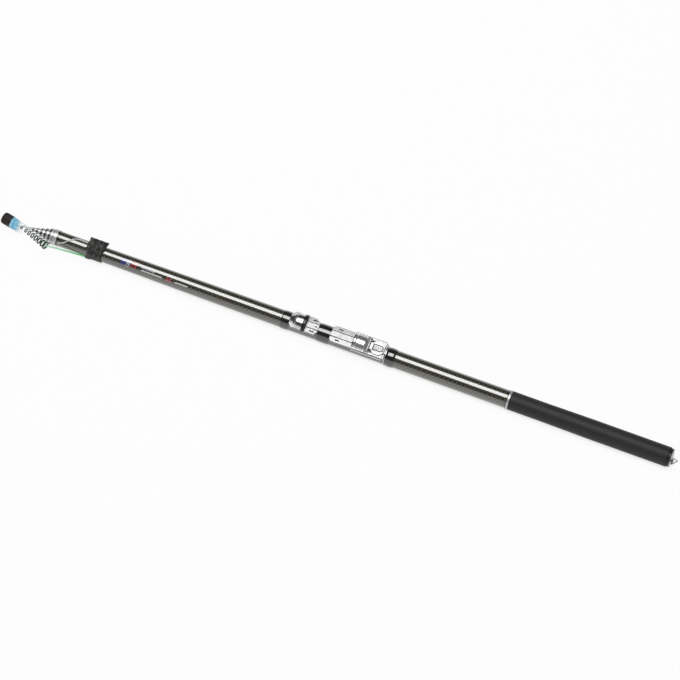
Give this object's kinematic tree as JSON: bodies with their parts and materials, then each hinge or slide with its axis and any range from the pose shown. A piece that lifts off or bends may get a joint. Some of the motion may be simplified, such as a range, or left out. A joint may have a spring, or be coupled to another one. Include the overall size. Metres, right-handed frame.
{
  "type": "telescopic fishing rod",
  "caption": "Closed telescopic fishing rod with nested carbon tubes, leaning line guides, a plate reel seat with a lever-locked sliding hood, a foam grip and a clear tip guard.",
  "frame": {"origin": "on the rod axis, where the straight rear part of the grip ends", "axes": "+X along the rod towards the butt, +Z out of the reel seat, line guides towards -Y"},
  "size_m": [1.0433, 0.0432, 0.0361],
  "materials": {
    "woven_carbon": "clear-coated carbon weave, black and olive brown",
    "dark_carbon": "clear-coated plain carbon",
    "gloss_winding": "black thread under thick gloss lacquer",
    "bright_chrome": "bright plated metal",
    "plain_steel": "drawn steel",
    "ring_ceramic": "polished dark green ceramic",
    "foam": "fine matte closed-cell foam",
    "black_plastic": "moulded black",
    "black_rubber": "matte black rubber",
    "strap_fabric": "dark hook-and-loop tape",
    "green_cord": "soft pale green cord",
    "pale_cord": "thin pale line",
    "clear_blue": "clear light blue moulding"
  },
  "bodies": {
    "butt": {"butt_blank": "woven_carbon", "butt_insert": "black_plastic", "grip_sleeve": "foam", "grip_trim_ring": "bright_chrome", "grip_trim_band": "black_plastic", "rear_wrap": "gloss_winding", "rear_wrap_ring": "bright_chrome", "rail_saddle": "bright_chrome", "middle_wrap": "gloss_winding", "front_saddle": "bright_chrome", "front_hood": "bright_chrome", "front_hood_lip": "black_plastic", "front_wrap": "gloss_winding", "rod_strap": "strap_fabric", "tether_cord": "green_cord", "keeper_line": "pale_cord", "mouth_wrap": "gloss_winding", "butt_guide_frame": "bright_chrome", "butt_guide_ring": "ring_ceramic"},
    "section_2": {"section_2_blank": "dark_carbon", "section_2_winding": "gloss_winding", "section_2_guide_frame": "bright_chrome", "section_2_guide_ring": "ring_ceramic"},
    "section_3": {"section_3_blank": "dark_carbon", "section_3_winding": "gloss_winding", "section_3_guide_frame": "bright_chrome", "section_3_guide_ring": "ring_ceramic"},
    "section_4": {"section_4_blank": "dark_carbon", "section_4_winding": "gloss_winding", "section_4_guide_frame": "bright_chrome", "section_4_guide_ring": "ring_ceramic"},
    "section_5": {"section_5_blank": "dark_carbon", "section_5_winding": "gloss_winding", "section_5_guide_frame": "bright_chrome", "section_5_guide_ring": "ring_ceramic"},
    "section_6": {"section_6_blank": "dark_carbon", "section_6_winding": "gloss_winding", "section_6_guide_frame": "bright_chrome", "section_6_guide_ring": "ring_ceramic"},
    "tip_section": {"tip_blank": "dark_carbon", "tip_top_frame": "bright_chrome", "tip_top_ring": "ring_ceramic"},
    "float_guide": {"float_guide_frame": "bright_chrome", "float_guide_ring": "ring_ceramic"},
    "tip_guard": {"guard_cup": "clear_blue", "guard_cap": "black_rubber", "guard_tether": "green_cord"},
    "reel_slide": {"slide_hood": "bright_chrome", "lever_pin": "plain_steel"},
    "seat_lever": {"lock_lever": "bright_chrome"},
    "end_cap": {"butt_cap": "black_plastic", "cap_gasket": "black_rubber", "cap_pad": "black_rubber", "cap_plate": "bright_chrome", "bail_eye": "plain_steel"},
    "bail": {"lanyard_bail": "plain_steel"}
  },
  "joints": [
    {"name": "section_2_draw", "type": "slide", "parent": "butt", "child": "section_2", "axis": [-1, 0, 0], "range_m": [0, 0.8665]},
    {"name": "section_3_draw", "type": "slide", "parent": "section_2", "child": "section_3", "axis": [-1, 0, 0], "range_m": [0, 0.8731]},
    {"name": "section_4_draw", "type": "slide", "parent": "section_3", "child": "section_4", "axis": [-1, 0, 0], "range_m": [0, 0.8796]},
    {"name": "section_5_draw", "type": "slide", "parent": "section_4", "child": "section_5", "axis": [-1, 0, 0], "range_m": [0, 0.8862]},
    {"name": "section_6_draw", "type": "slide", "parent": "section_5", "child": "section_6", "axis": [-1, 0, 0], "range_m": [0, 0.8927]},
    {"name": "tip_section_draw", "type": "slide", "parent": "section_6", "child": "tip_section", "axis": [-1, 0, 0], "range_m": [0, 0.8993]},
    {"name": "float_guide_slide", "type": "slide", "parent": "section_6", "child": "float_guide", "axis": [-1, 0, 0], "range_m": [0, 0.45015]},
    {"name": "tip_guard_pull", "type": "slide", "parent": "tip_section", "child": "tip_guard", "axis": [-0.9781, 0.2079, 0], "range_m": [0, 0.04]},
    {"name": "reel_slide_travel", "type": "slide", "parent": "butt", "child": "reel_slide", "axis": [-1, 0, 0], "range_m": [0, 0.031]},
    {"name": "seat_lever_lift", "type": "hinge", "parent": "reel_slide", "child": "seat_lever", "pos_m": [-0.46, 0, 0.017], "axis": [0, -1, 0], "range_deg": [0, 95]},
    {"name": "end_cap_turn", "type": "hinge", "parent": "butt", "child": "end_cap", "pos_m": [0, 0, 0], "axis": [1, 0, 0], "continuous": true},
    {"name": "bail_swing", "type": "hinge", "parent": "end_cap", "child": "bail", "pos_m": [0.0076, 0, 0], "axis": [0, -0.9397, -0.342], "range_deg": [-80, 80]}
  ],
  "couplings": [
    {"joint": "float_guide_slide", "follows": "tip_section_draw", "ratio": 0.5}
  ]
}
